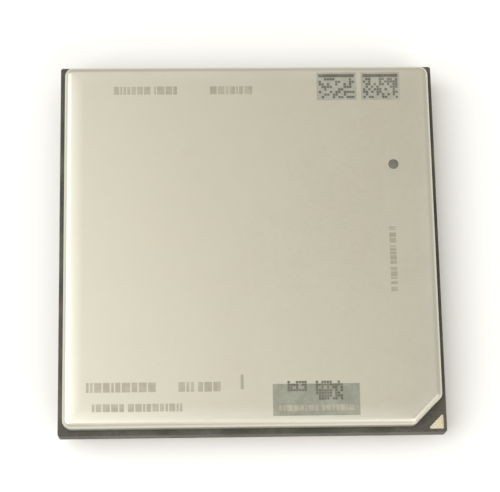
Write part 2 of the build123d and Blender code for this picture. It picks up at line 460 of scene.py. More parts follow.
class NodeBench:
    """A material's node tree with a hand for each kind of node that the finishes use."""

    def __init__(self, name: str) -> None:
        """Start an empty tree with a Principled shader and object coordinates.

        Args:
            name: the material's name.
        """
        self.material = bpy.data.materials.new(name)
        self.material.use_nodes = True
        self.tree = self.material.node_tree
        self.shader = self.tree.nodes["Principled BSDF"]
        self.coordinates = self.tree.nodes.new("ShaderNodeTexCoord").outputs["Object"]

    def node(
        self, kind: str, inputs: dict[str | int, Socket | float | tuple], **settings: str
    ) -> bpy.types.Node:
        """Add a node.

        Args:
            kind: the node's type, without its common beginning.
            inputs: what goes into each input: a socket to link, or a value to set.
            settings: the node's own options.

        Returns:
            The new node.
        """
        node = self.tree.nodes.new(f"ShaderNode{kind}")
        for option, choice in settings.items():
            setattr(node, option, choice)
        for key, value in inputs.items():
            if isinstance(value, Socket):
                self.tree.links.new(value, node.inputs[key])
            else:
                node.inputs[key].default_value = value
        return node

    def mapped(self, scale: Triple | float, turn_deg: float = 0.0) -> Socket:
        """Object coordinates, turned about Z and then stretched.

        Args:
            scale: cells a metre along each axis, after the turn, or one number for all three.
            turn_deg: turn about Z.

        Returns:
            The vector socket.
        """
        turn = (0, 0, math.radians(turn_deg))
        turned = self.node("Mapping", {"Rotation": turn, "Vector": self.coordinates})
        stretch = scale if isinstance(scale, tuple) else (scale, scale, scale)
        return self.node("Mapping", {"Scale": stretch, "Vector": turned.outputs[0]}).outputs[0]

    def noise(
        self, scale: Triple | float, detail: float = 2.0, rough: float = 0.5, turn_deg: float = 0.0
    ) -> Socket:
        """Fractal noise from 0 to 1 on object coordinates.

        Args:
            scale: cells a metre along each axis, or one number for all three.
            detail: finer layers of noise.
            rough: weight of each finer layer.
            turn_deg: turn about Z.

        Returns:
            The value socket.
        """
        vector = self.mapped(scale, turn_deg)
        inputs = {"Scale": 1.0, "Detail": detail, "Roughness": rough, "Vector": vector}
        return self.node("TexNoise", inputs).outputs["Fac"]

    def cells(self, scale: Triple | float, turn_deg: float = 0.0) -> Socket:
        """Distance to the nearest of scattered points, in cells a metre."""
        vector = self.mapped(scale, turn_deg)
        return self.node("TexVoronoi", {"Scale": 1.0, "Vector": vector}).outputs["Distance"]

    def band(self, value: Socket, low: float, high: float, out: tuple[float, float] = (0, 1)) -> Socket:
        """Smoothly stretch the part of a value between low and high over an output range."""
        ends = {"From Min": low, "From Max": high, "To Min": out[0], "To Max": out[1]}
        return self.node("MapRange", {**ends, "Value": value}, interpolation_type="SMOOTHSTEP").outputs[0]

    def sum(self, first: Socket, second: Socket | float, action: str = "ADD") -> Socket:
        """Combine two values: ADD, MULTIPLY or MAXIMUM."""
        return self.node("Math", {0: first, 1: second}, operation=action).outputs[0]

    def times(self, value: Socket, factor: Socket | float) -> Socket:
        """Multiply a value by another or by a number."""
        return self.sum(value, factor, "MULTIPLY")

    def blend(self, share: Socket, first: Triple | Socket, second: Triple | Socket) -> Socket:
        """Mix two colours by a share from 0 to 1."""
        colours = [colour if isinstance(colour, Socket) else (*colour, 1.0) for colour in (first, second)]
        return self.node("Mix", {0: share, 6: colours[0], 7: colours[1]}, data_type="RGBA").outputs[2]

    def height(self, field_of_heights: Socket, depth: float, strength: float) -> None:
        """Bump the shader's normal by a height field of this depth in metres."""
        bump = self.node("Bump", {"Distance": depth, "Strength": strength, "Height": field_of_heights})
        self.tree.links.new(bump.outputs["Normal"], self.shader.inputs["Normal"])

    def attribute(self, name: str) -> Socket:
        """A number stored on the piece's own vertices."""
        return self.node("Attribute", {}, attribute_name=name).outputs["Fac"]

    def dress(
        self, colour: Socket, rough: Socket, metallic: float = 0.0, specular: float = 0.5
    ) -> bpy.types.Material:
        """Set the shader from a colour and a roughness that vary, and the values that don't.

        Args:
            colour: the base colour.
            rough: the roughness.
            metallic: 1 for bare metal.
            specular: strength of the clear reflection on what is not metal.

        Returns:
            The finished material.
        """
        self.tree.links.new(colour, self.shader.inputs["Base Color"])
        self.tree.links.new(rough, self.shader.inputs["Roughness"])
        self.shader.inputs["Metallic"].default_value = metallic
        self.shader.inputs["Specular IOR Level"].default_value = specular
        return self.material


class Finish:
    """Something that a piece is made of. One material is made for each finish and shared."""

    name = "finish"
    made: dict[str, bpy.types.Material] = {}

    def material(self) -> bpy.types.Material:
        """The finish's material, made the first time it is asked for.

        Returns:
            The shared material.
        """
        key = f"{self.name}_{type(self).__name__}"
        if key not in Finish.made:
            Finish.made[key] = self.nodes(NodeBench(self.name))
        return Finish.made[key]

    def nodes(self, bench: NodeBench) -> bpy.types.Material:
        """Wire the material up."""
        raise NotImplementedError


@dataclass(frozen=True)
class NickelPlate(Finish):
    """Satin nickel over copper: fine rolled grain, clouding, hairline scratches and a painted highlight on
    the rounded edges.
    """

    name: str = "satin_nickel_plate"
    colour: Triple = (0.575, 0.545, 0.455)
    cloud: Triple = (0.530, 0.508, 0.432)
    # lighter nickel painted onto the rounded edge as a highlight
    painted_rim_highlight: Triple = (0.680, 0.660, 0.580)
    worn: Triple = (0.650, 0.605, 0.500)
    grain_depth: float = 0.0015 * MM
    scratch_turns: tuple[float, ...] = (7.0, 63.0, 118.0, 151.0)

    def scratches(self, bench: NodeBench) -> Socket:
        """Sparse hairlines: long thin noise cells in several directions, cut to their crests.

        Args:
            bench: the node bench of the finish's material.

        Returns:
            A value of 1 on a scratch and 0 elsewhere.
        """
        total = None
        for number, turn in enumerate(self.scratch_turns):
            lines = bench.noise((90.0 + 25 * number, 9000.0, 400.0), 1.0, turn_deg=turn)
            crest = bench.band(lines, 0.70, 0.78)
            total = crest if total is None else bench.sum(total, crest, "MAXIMUM")
        patches = bench.band(bench.noise(160.0, 3.0), 0.42, 0.62)
        return bench.times(total, patches)

    def nodes(self, bench: NodeBench) -> bpy.types.Material:
        """Clouds, stains and scratch wear tint the plate, a painted highlight lightens the rounded edge,
        and grain and scratches roughen it.

        Args:
            bench: the node bench of the finish's material.

        Returns:
            The finished material.
        """
        cloud = bench.band(bench.noise(110.0, 4.0, 0.6), 0.35, 0.68)
        stain = bench.band(bench.noise((420.0, 380.0, 400.0), 5.0, 0.62, 20.0), 0.55, 0.80)
        grain = bench.noise((2600.0, 9500.0, 6000.0), 3.0, 0.6, 2.0)
        scratch = self.scratches(bench)
        # the edge attribute sets where the painted highlight lies on the rounded edge
        edge = bench.attribute("edge")
        tint = bench.blend(bench.times(cloud, 0.40), self.colour, self.cloud)
        tint = bench.blend(bench.times(stain, 0.25), tint, self.cloud)
        tint = bench.blend(bench.times(scratch, 0.25), tint, self.worn)
        # painted highlight: the rounded edge is lightened towards the rim colour
        tint = bench.blend(bench.times(edge, 0.75), tint, self.painted_rim_highlight)
        rough = bench.band(cloud, 0.0, 1.0, (0.40, 0.44))
        rough = bench.sum(rough, bench.band(grain, 0.3, 0.7, (-0.035, 0.035)))
        rough = bench.sum(rough, bench.times(scratch, -0.08))
        rough = bench.sum(rough, bench.times(edge, -0.03))
        relief = bench.sum(grain, bench.times(scratch, -1.6))
        bench.height(relief, self.grain_depth, 0.6)
        return bench.dress(tint, rough, metallic=1.0)


@dataclass(frozen=True)
class FiredCeramic(Finish):
    """Dark fired alumina: fine light and dark grains, a dry surface and faint firing clouds."""

    name: str = "fired_ceramic"
    dark: Triple = (0.044, 0.041, 0.032)
    light: Triple = (0.112, 0.106, 0.084)
    grain_depth: float = 0.006 * MM

    def nodes(self, bench: NodeBench) -> bpy.types.Material:
        """Grains tint and roughen the surface, and clouds shift it slowly.

        Args:
            bench: the node bench of the finish's material.

        Returns:
            The finished material.
        """
        grain = bench.noise(9000.0, 3.0, 0.6)
        specks = bench.band(bench.cells(7000.0, 31.0), 0.22, 0.10)
        cloud = bench.noise((260.0, 260.0, 700.0), 3.0)
        share = bench.band(bench.sum(grain, bench.band(cloud, 0.3, 0.7, (-0.16, 0.16))), 0.32, 0.85)
        tint = bench.blend(share, self.dark, self.light)
        tint = bench.blend(bench.times(specks, 0.35), tint, (0.20, 0.185, 0.150))
        rough = bench.band(grain, 0.2, 0.8, (0.46, 0.66))
        bench.height(bench.sum(grain, bench.times(specks, 0.5)), self.grain_depth, 0.7)
        return bench.dress(tint, rough, specular=0.45)


@dataclass(frozen=True)
class GoldPlate(Finish):
    """Thin gold plate: warm, slightly uneven, with small dull stains."""

    name: str = "gold_plate"
    colour: Triple = (0.88, 0.66, 0.32)
    pale: Triple = (0.93, 0.79, 0.50)
    dull: Triple = (0.55, 0.40, 0.22)
    grain_depth: float = 0.002 * MM

    def nodes(self, bench: NodeBench) -> bpy.types.Material:
        """Slow clouds shift the gold, stains dull it, grain roughens it.

        Args:
            bench: the node bench of the finish's material.

        Returns:
            The finished material.
        """
        cloud = bench.band(bench.noise(900.0, 3.0), 0.35, 0.65)
        stain = bench.band(bench.noise((2400.0, 2400.0, 1800.0), 4.0, 0.6, 17.0), 0.62, 0.80)
        grain = bench.noise((16000.0, 16000.0, 7000.0))
        tint = bench.blend(cloud, self.colour, self.pale)
        tint = bench.blend(bench.times(stain, 0.7), tint, self.dull)
        rough = bench.sum(bench.band(grain, 0.25, 0.75, (0.20, 0.34)), bench.times(stain, 0.25))
        bench.height(grain, self.grain_depth, 0.5)
        return bench.dress(tint, rough, metallic=1.0)


@dataclass(frozen=True)
class BrazeAlloy(GoldPlate):
    """Gold-plated braze: redder and rougher than the plate on the pins, as it froze uneven."""

    name: str = "gold_braze"
    colour: Triple = (0.74, 0.48, 0.20)
    pale: Triple = (0.86, 0.64, 0.33)
    dull: Triple = (0.36, 0.24, 0.13)
    grain_depth: float = 0.006 * MM


@dataclass(frozen=True)
class Silicone(Finish):
    """Cured silicone bead: dark grey and slightly sticky, with fine dust."""

    name: str = "silicone_bead"
    colour: Triple = (0.055, 0.053, 0.050)
    dust: Triple = (0.20, 0.19, 0.17)

    def nodes(self, bench: NodeBench) -> bpy.types.Material:
        """Dust lies in small patches over the grey.

        Args:
            bench: the node bench of the finish's material.

        Returns:
            The finished material.
        """
        dust = bench.band(bench.noise(3000.0, 4.0, 0.65), 0.50, 0.78)
        ripple = bench.noise((1200.0, 1200.0, 3000.0))
        tint = bench.blend(bench.times(dust, 0.6), self.colour, self.dust)
        rough = bench.band(dust, 0.0, 1.0, (0.42, 0.70))
        bench.height(ripple, 0.02 * MM, 0.5)
        return bench.dress(tint, rough, specular=0.5)


@dataclass(frozen=True)
class PaintedGrain(Finish):
    """A plain technical material: two near colours in grains, with one range of roughness."""

    name: str = "plain"
    first: Triple = (0.5, 0.5, 0.5)
    second: Triple = (0.6, 0.6, 0.6)
    grain: float = 5000.0
    rough: tuple[float, float] = (0.4, 0.6)
    metallic: float = 0.0
    grain_depth: float = 0.004 * MM

    def nodes(self, bench: NodeBench) -> bpy.types.Material:
        """Grains set both the tint and the roughness, over slow clouds.

        Args:
            bench: the node bench of the finish's material.

        Returns:
            The finished material.
        """
        grain = bench.noise(self.grain, 3.0, 0.6)
        cloud = bench.noise(self.grain / 12, turn_deg=25.0)
        share = bench.band(bench.sum(grain, bench.band(cloud, 0.3, 0.7, (-0.15, 0.15))), 0.3, 0.75)
        tint = bench.blend(share, self.first, self.second)
        bench.height(grain, self.grain_depth, 0.5)
        return bench.dress(tint, bench.band(grain, 0.25, 0.75, self.rough), metallic=self.metallic)


NICKEL = NickelPlate()
CERAMIC = FiredCeramic()
GOLD = GoldPlate()
# a paler copy of the gold plate, lightened as a painted highlight for the index triangle
GOLD_PAINTED_HIGHLIGHT = GoldPlate(name="gold_plate_painted_highlight", colour=(0.88, 0.76, 0.50), pale=(0.95, 0.88, 0.68))
BRAZE = BrazeAlloy()
SILICONE = Silicone()
TUNGSTEN = PaintedGrain("fired_tungsten", (0.18, 0.18, 0.19), (0.30, 0.30, 0.31), 8000.0, (0.45, 0.65), 1.0)
SOLDER = PaintedGrain("bright_solder", (0.52, 0.52, 0.53), (0.70, 0.70, 0.70), 4000.0, (0.22, 0.38), 1.0)
TIN = PaintedGrain("matt_tin", (0.55, 0.54, 0.52), (0.68, 0.67, 0.64), 6000.0, (0.35, 0.50), 1.0)
CHIP_CERAMIC = PaintedGrain(
    "capacitor_ceramic", (0.23, 0.12, 0.06), (0.36, 0.21, 0.11), 5000.0, (0.45, 0.65)
)
SILICON = PaintedGrain(
    "polished_silicon", (0.045, 0.048, 0.060), (0.065, 0.070, 0.085), 1500.0, (0.10, 0.18), 0.6
)
RESIN = PaintedGrain("underfill_resin", (0.020, 0.018, 0.017), (0.040, 0.036, 0.032), 3000.0, (0.18, 0.32))
COMPOUND = PaintedGrain("thermal_compound", (0.40, 0.40, 0.39), (0.52, 0.52, 0.50), 3500.0, (0.50, 0.70))
DARK_ETCH = PaintedGrain(
    "dark_laser_etch", (0.130, 0.125, 0.102), (0.215, 0.206, 0.170), 9000.0, (0.50, 0.70), 0.75
)
FROST_ETCH = PaintedGrain(
    "frosted_laser_etch", (0.365, 0.363, 0.316), (0.440, 0.437, 0.381), 9000.0, (0.48, 0.62), 0.9
)
GREY_ETCH = PaintedGrain(
    "grey_laser_etch", (0.270, 0.277, 0.228), (0.350, 0.358, 0.297), 9000.0, (0.48, 0.62), 0.9
)
FAINT_ETCH = PaintedGrain(
    "faint_laser_etch", (0.360, 0.335, 0.270), (0.450, 0.425, 0.345), 9000.0, (0.46, 0.60), 0.9
)


# --- lid ---


@dataclass
class Lid:
    """The stamped cap: a roof that falls away a little towards a coined rim, over a hollow foot."""

    corner_radius: float = 0.90 * MM
    cut_leg: float = 2.90 * MM
    cut_round: float = 0.80 * MM
    edge_radius: float = 0.70 * MM
    foot_radius: float = 0.15 * MM
    foot_width: float = 3.00 * MM
    cavity_radius: float = 2.00 * MM
    crown: float = 0.030 * MM
    rim_width: float = 2.00 * MM
    rim_drop: float = 0.060 * MM
    peak_gap: float = 0.006 * MM
    roof_rings: int = 28
    painted_highlight_edge: float = 0.60 * MM
    wall_drops: tuple[float, ...] = (1.00 * MM, 0.70 * MM, 0.40 * MM, 0.15 * MM)
    shelf_insets: tuple[float, float] = (0.78 * MM, 2.28 * MM)
    outer_roof_insets: tuple[float, float] = (2.80 * MM, 3.50 * MM)

    def __post_init__(self) -> None:
        """Take the lid's place from its CAD node."""
        low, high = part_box("heat_spreader_lid")
        self.low, self.high = low.z, high.z
        self.outline = IndexedSquare(high.x - low.x, self.corner_radius, self.cut_leg, self.cut_round)
        self.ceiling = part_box("thermal_interface")[1].z

    def roof(self, x: np.ndarray, y: np.ndarray) -> np.ndarray:
        """Height of the roof.

        The roof falls by `crown` from its middle to its sides, as the fourth-power distance
        from the middle squared, and by a further `rim_drop` over the last `rim_width`. That
        fall is the square of the way across the rim, and where two sides meet, their ways are
        combined as the fourth root of the sum of their fourth powers, so that no crease shows.

        Args:
            x: places along X.
            y: places along Y.

        Returns:
            Heights, in the shape of x.
        """
        half = self.outline.side / 2
        reach = ((np.abs(x) / half) ** 4 + (np.abs(y) / half) ** 4) ** 0.25
        ways = np.clip(1 - self.outline.depths(x, y) / self.rim_width, 0, 1)
        across = np.minimum((ways**4).sum(0) ** 0.25, 1)
        return self.high - self.peak_gap - self.crown * reach**2 - self.rim_drop * across**2

    def build(self) -> bpy.types.Object:
        """Rings from the cavity's ceiling out over the foot, up the wall and in over the roof.

        Returns:
            The new piece, dressed and riding on the package.
        """
        cavity_half = self.outline.side / 2 - self.foot_width
        cavity = IndexedSquare(2 * cavity_half, self.cavity_radius, 0, 0)
        ceiling = rings_from_rows(cavity, [(0, self.ceiling)])
        mouth = self.foot_radius
        inner_rows = [(0, self.low + mouth)] + [
            (-mouth * (1 - math.cos(a)), self.low + mouth * (1 - math.sin(a)))
            for a in np.linspace(0, math.pi / 2, 4)[1:]
        ]
        wall = [(0, self.high - self.edge_radius - drop) for drop in self.wall_drops]
        outer = rings_from_rows(self.outline, quarter_round(0, self.low, self.foot_radius, 3, False) + wall)
        edge_row = self.outline.ring(self.edge_radius)
        shoulder = rings_from_rows(self.outline, quarter_round(0, 0, self.edge_radius, 9, True))
        shoulder[..., 2] += self.roof(edge_row[:, 0], edge_row[:, 1])
        inner = [scaled_rings(ceiling[0], (0.02, 0.5)), ceiling, rings_from_rows(cavity, inner_rows)]
        rows = np.concatenate([*inner, outer, shoulder])
        insets = [*np.linspace(*self.shelf_insets, 9), *self.outer_roof_insets]
        shelf = rings_from_rows(self.outline, [(inset, 0) for inset in insets])
        shares = np.linspace(1, 0.02, self.roof_rings)[1:]
        top = np.concatenate([shelf, scaled_rings(shelf[-1], shares)])
        top[..., 2] = self.roof(top[..., 0], top[..., 1])
        centre = np.array([0.0, 0.0, self.ceiling])
        peak = np.array([0.0, 0.0, self.high - self.peak_gap])
        lid = closed_piece("lid_shell", np.concatenate([rows, top]), centre, peak)
        self.mark_edges(lid)
        return finish_piece(lid, NICKEL, ["heat_spreader_lid"])

    def mark_edges(self, lid: bpy.types.Object) -> None:
        """Store how near each point is to the rim, which sets the painted highlight on the lid's edge: 1 on
        the rounded edge, 0 past the coined rim.

        Args:
            lid: the lid, built but not yet dressed.
        """
        points = mesh_points(lid.data)
        depth = self.outline.depths(points[:, 0], points[:, 1]).min(0)
        across = np.clip((self.rim_width - depth) / (self.rim_width - self.painted_highlight_edge), 0, 1)
        high = points[:, 2] > self.high - self.edge_radius
        # this attribute places the painted highlight on the lid's rounded edge
        attribute = lid.data.attributes.new("edge", "FLOAT", "POINT")
        attribute.data.foreach_set("value", (across * high).astype(np.float32))


# --- marks on the lid ---


class MarkKind(Enum):
    """The kinds of generic mark that a laser leaves on a lid."""

    DASHES = "dashes"
    CELLS = "cells"
    PATCH = "patch"
    DOT = "dot"


@dataclass(frozen=True)
class LidMark:
    """One mark: its kind, its box on the lid in millimetres, and how it is dressed."""

    name: str
    kind: MarkKind
    low: tuple[float, float]
    high: tuple[float, float]
    finish: Finish
    cell: float = 0.30
    upright: bool = False
    filled: float = 0.52


MARKS = (
    LidMark("code_patch_back_left", MarkKind.PATCH, (7.4, 15.45), (11.65, 18.6), FROST_ETCH),
    LidMark("code_patch_back_right", MarkKind.PATCH, (12.15, 15.45), (16.3, 18.6), FROST_ETCH),
    LidMark("code_bar_back_left", MarkKind.PATCH, (7.6, 18.05), (11.45, 18.4), DARK_ETCH),
    LidMark("code_bar_back_right", MarkKind.PATCH, (12.35, 18.05), (16.1, 18.4), DARK_ETCH),
    LidMark("code_cells_back_left", MarkKind.CELLS, (7.6, 15.65), (11.45, 17.97), DARK_ETCH, 0.29),
    LidMark("code_cells_back_right", MarkKind.CELLS, (12.35, 15.65), (16.1, 17.97), DARK_ETCH, 0.29),
    LidMark("code_patch_front", MarkKind.PATCH, (2.0, -18.5), (10.9, -15.2), GREY_ETCH),
    LidMark("code_cells_front_a", MarkKind.CELLS, (3.5, -16.0), (5.5, -14.9), DARK_ETCH, 0.27, filled=0.72),
    LidMark("code_cells_front_b", MarkKind.CELLS, (6.4, -16.9), (9.2, -14.9), DARK_ETCH, 0.27, filled=0.72),
    LidMark("code_dashes_front", MarkKind.DASHES, (2.6, -18.0), (10.3, -17.4), FAINT_ETCH, 0.5),
    LidMark("dashes_back_left", MarkKind.DASHES, (-14.2, 16.2), (-7.5, 17.1), FAINT_ETCH, 0.6),
    LidMark("dashes_back_middle", MarkKind.DASHES, (-4.0, 16.2), (0.5, 17.1), FAINT_ETCH, 0.6),
    LidMark("dashes_front_upper_left", MarkKind.DASHES, (-17.0, -15.9), (-9.9, -14.9), FAINT_ETCH, 0.7),
    LidMark("dashes_front_upper_right", MarkKind.DASHES, (-7.6, -15.9), (-3.3, -14.9), FAINT_ETCH, 0.7),
    LidMark("dashes_front_lower", MarkKind.DASHES, (-16.4, -17.9), (-7.2, -17.1), FAINT_ETCH, 0.6),
    LidMark("short_bar_front", MarkKind.PATCH, (-1.25, -15.7), (-0.95, -14.2), FAINT_ETCH),
    LidMark("dot_right", MarkKind.DOT, (14.75, 7.7), (15.85, 8.8), DARK_ETCH),
    LidMark("dashes_right", MarkKind.DASHES, (14.55, -5.6), (15.25, 1.4), FAINT_ETCH, 0.5, True),
)


@dataclass
class LidMarks:
    """Thin plates a few thousandths of a millimetre proud of the roof, one piece for each mark."""

    lid: Lid
    proud: float = 0.003 * MM
    sunk: float = 0.020 * MM
    spacing: float = 0.30 * MM
    cell_gap: float = 0.06
    dash_widths: tuple[float, float] = (0.35, 1.90)
    dash_gap: float = 0.32
    wide_gap: float = 1.0
    wide_gap_chance: float = 0.12
    seed: int = 41

    def cells(self, mark: LidMark, draw: np.random.Generator) -> tuple[np.ndarray, np.ndarray]:
        """Square cells of a grid, with some of them left out at random.

        Args:
            mark: the mark to fill.
            draw: the seeded random generator.

        Returns:
            Lowest and highest corners of the cells, in millimetres, each of shape (n, 2).
        """
        low, high = np.array(mark.low), np.array(mark.high)
        counts = np.maximum(np.round((high - low) / mark.cell).astype(int), 1)
        step = (high - low) / counts
        across, up = np.meshgrid(np.arange(counts[0]), np.arange(counts[1]), indexing="ij")
        kept = draw.random(across.shape) < mark.filled
        corner = low + np.stack([across[kept], up[kept]], -1) * step
        gap = self.cell_gap * step
        return corner + gap, corner + step - gap

    def dashes(self, mark: LidMark, draw: np.random.Generator) -> tuple[np.ndarray, np.ndarray]:
        """A row of dashes of uneven length, with wider gaps after every few of them.

        Args:
            mark: the mark to fill.
            draw: the seeded random generator.

        Returns:
            Lowest and highest corners of the dashes, in millimetres, each of shape (n, 2).
        """
        along = 1 if mark.upright else 0
        length = mark.high[along] - mark.low[along]
        number = int(length / mark.cell)
        widths = draw.uniform(*self.dash_widths, number)
        gaps = np.where(draw.random(number) < self.wide_gap_chance, self.wide_gap, self.dash_gap)
        ends = np.cumsum(widths + gaps)
        scale = length / (ends[-1] - gaps[-1])
        low = np.tile(np.array(mark.low), (number, 1))
        high = np.tile(np.array(mark.high), (number, 1))
        high[:, along] = low[:, along] + (ends - gaps) * scale
        low[:, along] = high[:, along] - widths * scale
        return low, high

    def rounded(self, rings: np.ndarray) -> np.ndarray:
        """Push square rings out to circles that fit inside the square.

        A point keeps its direction from the middle, and its distance becomes the larger of its
        two coordinates there.

        Args:
            rings: rings of a square slab, shape (rows, columns, 3).

        Returns:
            The same rings as circles.
        """
        middle = rings[-1].mean(0)
        away = rings[..., :2] - middle[:2]
        reach = np.abs(away).max(-1) / np.maximum(np.linalg.norm(away, axis=-1), 1e-9)
        return np.concatenate([middle[:2] + away * reach[..., None], rings[..., 2:]], -1)

    def laid(self, points: np.ndarray, proud: float) -> np.ndarray:
        """Turn heights of 0 and 1 into just under the roof and just over it, in metres.

        Args:
            points: points whose height is 0 or 1.
            proud: how far the top stands over the roof.

        Returns:
            The points in place.
        """
        roof = self.lid.roof(points[..., 0], points[..., 1])
        height = np.where(points[..., 2] > 0.5, roof + proud, roof - self.sunk)
        return np.concatenate([points[..., :2], height[..., None]], -1)

    def plates(self, mark: LidMark, draw: np.random.Generator) -> Surface:
        """Closed plates of one mark, whose tops follow the roof.

        Args:
            mark: the mark to make.
            draw: the seeded random generator.

        Returns:
            The surface of all its plates.
        """
        surface = Surface()
        if mark.kind in (MarkKind.PATCH, MarkKind.DOT):
            rings = slab_rings(np.array(mark.low) * MM, np.array(mark.high) * MM, self.spacing)
            if mark.kind is MarkKind.DOT:
                rings = self.rounded(rings)
            proud = self.proud * (1 if mark.finish in (FROST_ETCH, GREY_ETCH) else 2)
            poles = self.laid(np.stack([rings[0].mean(0), rings[-1].mean(0)]), proud)
            surface.add(*closed_rings(self.laid(rings, proud), *poles))
            return surface
        low, high = self.cells(mark, draw) if mark.kind is MarkKind.CELLS else self.dashes(mark, draw)
        points, quads = boxes(
            np.column_stack([low * MM, np.zeros(len(low))]),
            np.column_stack([high * MM, np.ones(len(low))]),
        )
        surface.add(self.laid(points, 2 * self.proud), quads)
        return surface

    def build(self) -> None:
        """Make every mark."""
        draw = np.random.default_rng(self.seed)
        for mark in MARKS:
            plates = self.plates(mark, draw).build(mark.name, smooth=False)
            finish_piece(plates, mark.finish)


# --- seal bead ---


@dataclass
class SealBead:
    """The silicone bead under the lid's foot, open at its vent gap."""

    width: float = 2.00 * MM
    gap: float = 3.00 * MM
    corner_radius: float = 0.90 * MM
    cut_leg: float = 2.636 * MM
    cut_round: float = 0.80 * MM
    squash: float = 0.4
    sides: int = 12

    def build(self) -> bpy.types.Object:
        """Carry a flat rounded section along the outline, from one side of the gap to the other.

        The section is an ellipse whose cosine and sine are raised to the power `squash`, which
        makes it flat on both faces with rounded sides. Its width shrinks as a semicircle over the
        last half width at each end, so that the bead ends round.

        Returns:
            The new piece, dressed and riding on the package.
        """
        low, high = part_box("lid_seal")
        outline = IndexedSquare(high.x - low.x, self.corner_radius, self.cut_leg, self.cut_round, 8, 60)
        inner = IndexedSquare(high.x - low.x - 2 * self.width, self.corner_radius, 0, 0, 8, 60)
        outer_ring, inner_ring = outline.ring(0), inner.ring(0)
        back = (outer_ring[:, 1] > high.y - 1e-6) & (np.abs(outer_ring[:, 0]) < self.gap / 2)
        start = int(np.flatnonzero(back)[-1]) + 1
        keep = len(outer_ring) - int(back.sum())
        order = (start + np.arange(keep)) % len(outer_ring)
        outer_line, inner_line = outer_ring[order], inner_ring[order]
        middle, half = (outer_line + inner_line) / 2, (outer_line - inner_line) / 2
        length = np.concatenate([[0], np.cumsum(np.linalg.norm(np.diff(middle, axis=0), axis=1))])
        end = np.minimum(length, length[-1] - length) / (self.width / 2)
        taper = np.sqrt(np.clip(1 - (1 - np.clip(end, 0, 1)) ** 2, 0.0025, 1))
        turn = np.arange(self.sides) * (2 * math.pi / self.sides)
        across = np.sign(np.cos(turn)) * np.abs(np.cos(turn)) ** self.squash
        rise = np.sign(np.sin(turn)) * np.abs(np.sin(turn)) ** self.squash
        flat = middle[:, None] + half[:, None] * (across[None, :, None] * taper[:, None, None])
        centre_z = (low.z + high.z) / 2
        level = centre_z + (high.z - low.z) / 2 * rise[None] * taper[:, None]
        rings = np.concatenate([flat, level[..., None]], -1)
        first, last = np.array([*middle[0], centre_z]), np.array([*middle[-1], centre_z])
        bead = closed_piece("seal_bead", rings, first, last)
        return finish_piece(bead, SILICONE, ["lid_seal"])


# --- ceramic body ---


@dataclass
class CeramicLayer:
    """One fired layer: a square slab with broken edges and a slightly uneven cut side."""

    node: str
    recess_node: str | None = None
    corner_radius: float = 0.25 * MM
    edge_radius: float = 0.035 * MM
    roughness: float = 0.012 * MM
    seed: int = 1

    def build(self) -> bpy.types.Object:
        """Rings from the middle of the underside, round the cut side and in over the top.

        Where a metal plane is let into the top, the rings step down at its edge. The side is
        moved in by a seeded noise, smoothed along the outline, which leaves the box unchanged.

        Returns:
            The new piece, dressed and riding on the package.
        """
        low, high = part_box(self.node)
        outline = IndexedSquare(high.x - low.x, self.corner_radius, 0, 0, 5, 150)
        height = high.z - low.z
        wall = [(0, low.z + height * share) for share in (0.2, 0.4, 0.6, 0.8)]
        rows = (
            quarter_round(0, low.z, self.edge_radius, 3, False)
            + wall
            + quarter_round(0, high.z, self.edge_radius, 3, True)
        )
        side = rings_from_rows(outline, rows)
        draw = np.random.default_rng(self.seed)
        rough = draw.random(side.shape[:2])
        for _ in range(2):
            rough = (rough + np.roll(rough, 1, axis=1) + np.roll(rough, -1, axis=1)) / 3
        rough = (rough - rough.min()) / np.ptp(rough)
        drawn_in = 1 - self.roughness * rough / (outline.side / 2)
        side[..., :2] *= drawn_in[..., None]
        under = scaled_rings(side[0], (0.02, 0.5, 0.9, 0.995))
        under[..., 2] = low.z
        if self.recess_node:
            plane_low, plane_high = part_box(self.recess_node)
            share = (plane_high.x - plane_low.x) / outline.side
            over = scaled_rings(side[-1], (0.995, share + 0.001, share, share * 0.999, 0.5, 0.02))
            over[..., 2] = high.z
            over[3:, :, 2] = plane_low.z
            peak = plane_low.z
        else:
            over = scaled_rings(side[-1], (0.995, 0.9, 0.5, 0.02))
            over[..., 2] = high.z
            peak = high.z
        rings = np.concatenate([under, side, over])
        bottom, top = np.array([0, 0, low.z]), np.array([0, 0, peak])
        layer = closed_piece(f"{self.node}_slab", rings, bottom, top)
        return finish_piece(layer, CERAMIC, [self.node])


@dataclass
class IndexTriangle:
    """A gold triangle on bare ceramic, in a paler gold that paints in a highlight, with rounded corners and
    a soft edge.
    """

    node: str
    corner_round: float = 0.12 * MM
    soft: float = 0.006 * MM
    steps: int = 6

    def outline(self, low: Vector, high: Vector, inset: float) -> np.ndarray:
        """Points round a right-angled triangle with its square corner at +X, -Y.

        Each corner is an arc about a centre that lies one radius in from both of its sides.

        Args:
            low: lowest corner of the node's box.
            high: highest corner of the node's box.
            inset: distance inwards from the full outline.

        Returns:
            Points, shape (n, 2), turning left.
        """
        leg = high.x - low.x
        corner = np.array([high.x, low.y])
        radius = self.corner_round
        near = corner + np.array([-radius, radius])
        far = leg - radius * (1 + SQRT2)
        centres = np.array([near, near + [0, far - radius], near + [-(far - radius), 0]])
        turns = ((270.0, 90.0), (0.0, 135.0), (135.0, 135.0))
        return arcs(centres, radius - inset, turns, self.steps).reshape(-1, 2)

    def build(self) -> bpy.types.Object:
        """Stack the outline from the underside to the top, drawn in a little at both faces.

        Returns:
            The new piece, dressed and riding on the package.
        """
        low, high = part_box(self.node)
        levels = (
            (self.soft, low.z),
            (0.0, low.z + self.soft),
            (0.0, high.z - self.soft),
            (0.3 * self.soft, high.z - 0.3 * self.soft),
            (self.soft, high.z),
            (1.6 * self.soft, high.z),
            (3.0 * self.soft, high.z),
        )
        rings = np.stack([lifted(self.outline(low, high, inset), level) for inset, level in levels])
        middle = rings[0, :, :2].mean(0)
        bottom, top = np.array([*middle, low.z]), np.array([*middle, high.z])
        mark = closed_piece(f"{self.node}_plate", rings, bottom, top)
        return finish_piece(mark, GOLD_PAINTED_HIGHLIGHT, [self.node])


# --- pins ---


